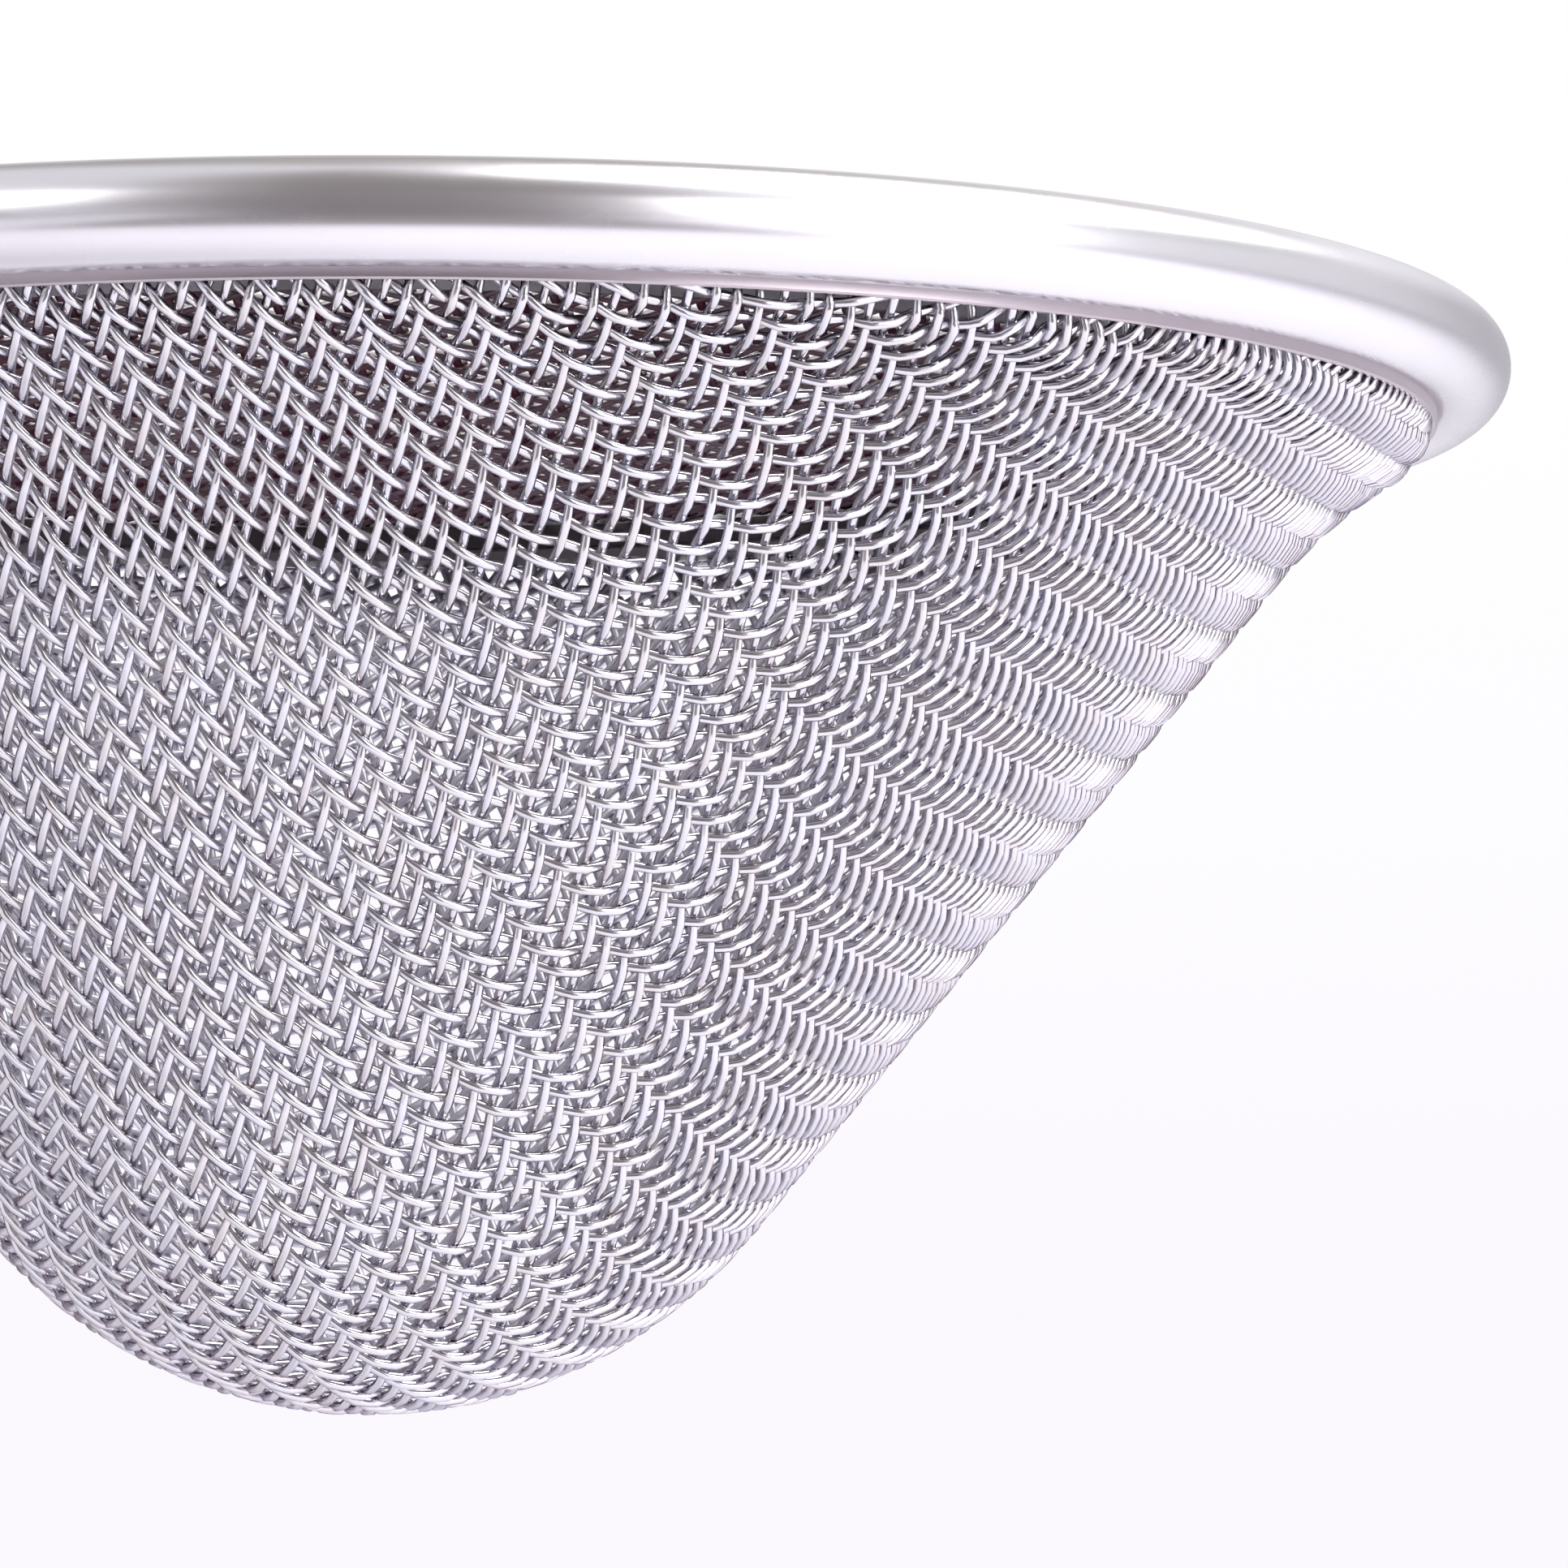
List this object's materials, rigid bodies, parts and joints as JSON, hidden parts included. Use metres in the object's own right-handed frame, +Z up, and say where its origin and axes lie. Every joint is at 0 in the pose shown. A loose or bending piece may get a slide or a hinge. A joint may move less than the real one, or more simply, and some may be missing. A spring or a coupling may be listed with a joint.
{
  "type": "double sieve strainer",
  "caption": "Conical fine wire-cloth sieve in a rolled rim, with telescopic rest arms and a lift-out coarse upper sieve.",
  "frame": {"origin": "lowest point of the cone's rounded tip, on the sieve's axis", "axes": "+X along the two rest arms, +Z up along the sieve's axis, Y across the arms"},
  "size_m": [0.2314, 0.15, 0.0809],
  "materials": {
    "polished_rim": "polished rolled stainless strip",
    "fine_cloth": "bright twill-woven stainless wire",
    "coarse_cloth": "plain-woven stainless wire",
    "core_wire": "drawn wire",
    "inner_strip": "satin stainless strip",
    "fittings_steel": "satin stainless",
    "bright_wire": "bright drawn stainless wire",
    "grip_rubber": "matt black sleeve"
  },
  "bodies": {
    "lower_sieve": {"lower_rim": "polished_rim", "lower_rim_wire": "core_wire", "fine_mesh": "fine_cloth", "support_ring": "inner_strip", "left_saddle": "fittings_steel", "left_front_sleeve": "fittings_steel", "left_rear_sleeve": "fittings_steel", "left_rest_strap": "fittings_steel", "right_saddle": "fittings_steel", "right_front_sleeve": "fittings_steel", "right_rear_sleeve": "fittings_steel", "right_rest_strap": "fittings_steel"},
    "upper_sieve": {"upper_rim": "polished_rim", "upper_rim_wire": "core_wire", "coarse_mesh": "coarse_cloth", "upper_clamp_ring": "inner_strip", "left_lift_loop": "bright_wire", "right_lift_loop": "bright_wire"},
    "left_arm": {"left_arm": "bright_wire", "left_arm_stops": "fittings_steel", "left_arm_grip": "grip_rubber"},
    "right_arm": {"right_arm": "bright_wire", "right_arm_stops": "fittings_steel", "right_arm_grip": "grip_rubber"}
  },
  "joints": [
    {"name": "left_arm_slide", "type": "slide", "parent": "lower_sieve", "child": "left_arm", "axis": [-1, 0, 0], "range_m": [0, 0.0188]},
    {"name": "right_arm_slide", "type": "slide", "parent": "lower_sieve", "child": "right_arm", "axis": [1, 0, 0], "range_m": [0, 0.0188]},
    {"name": "upper_sieve_lift", "type": "slide", "parent": "lower_sieve", "child": "upper_sieve", "axis": [0, 0, 1], "range_m": [0, 0.05]}
  ]
}
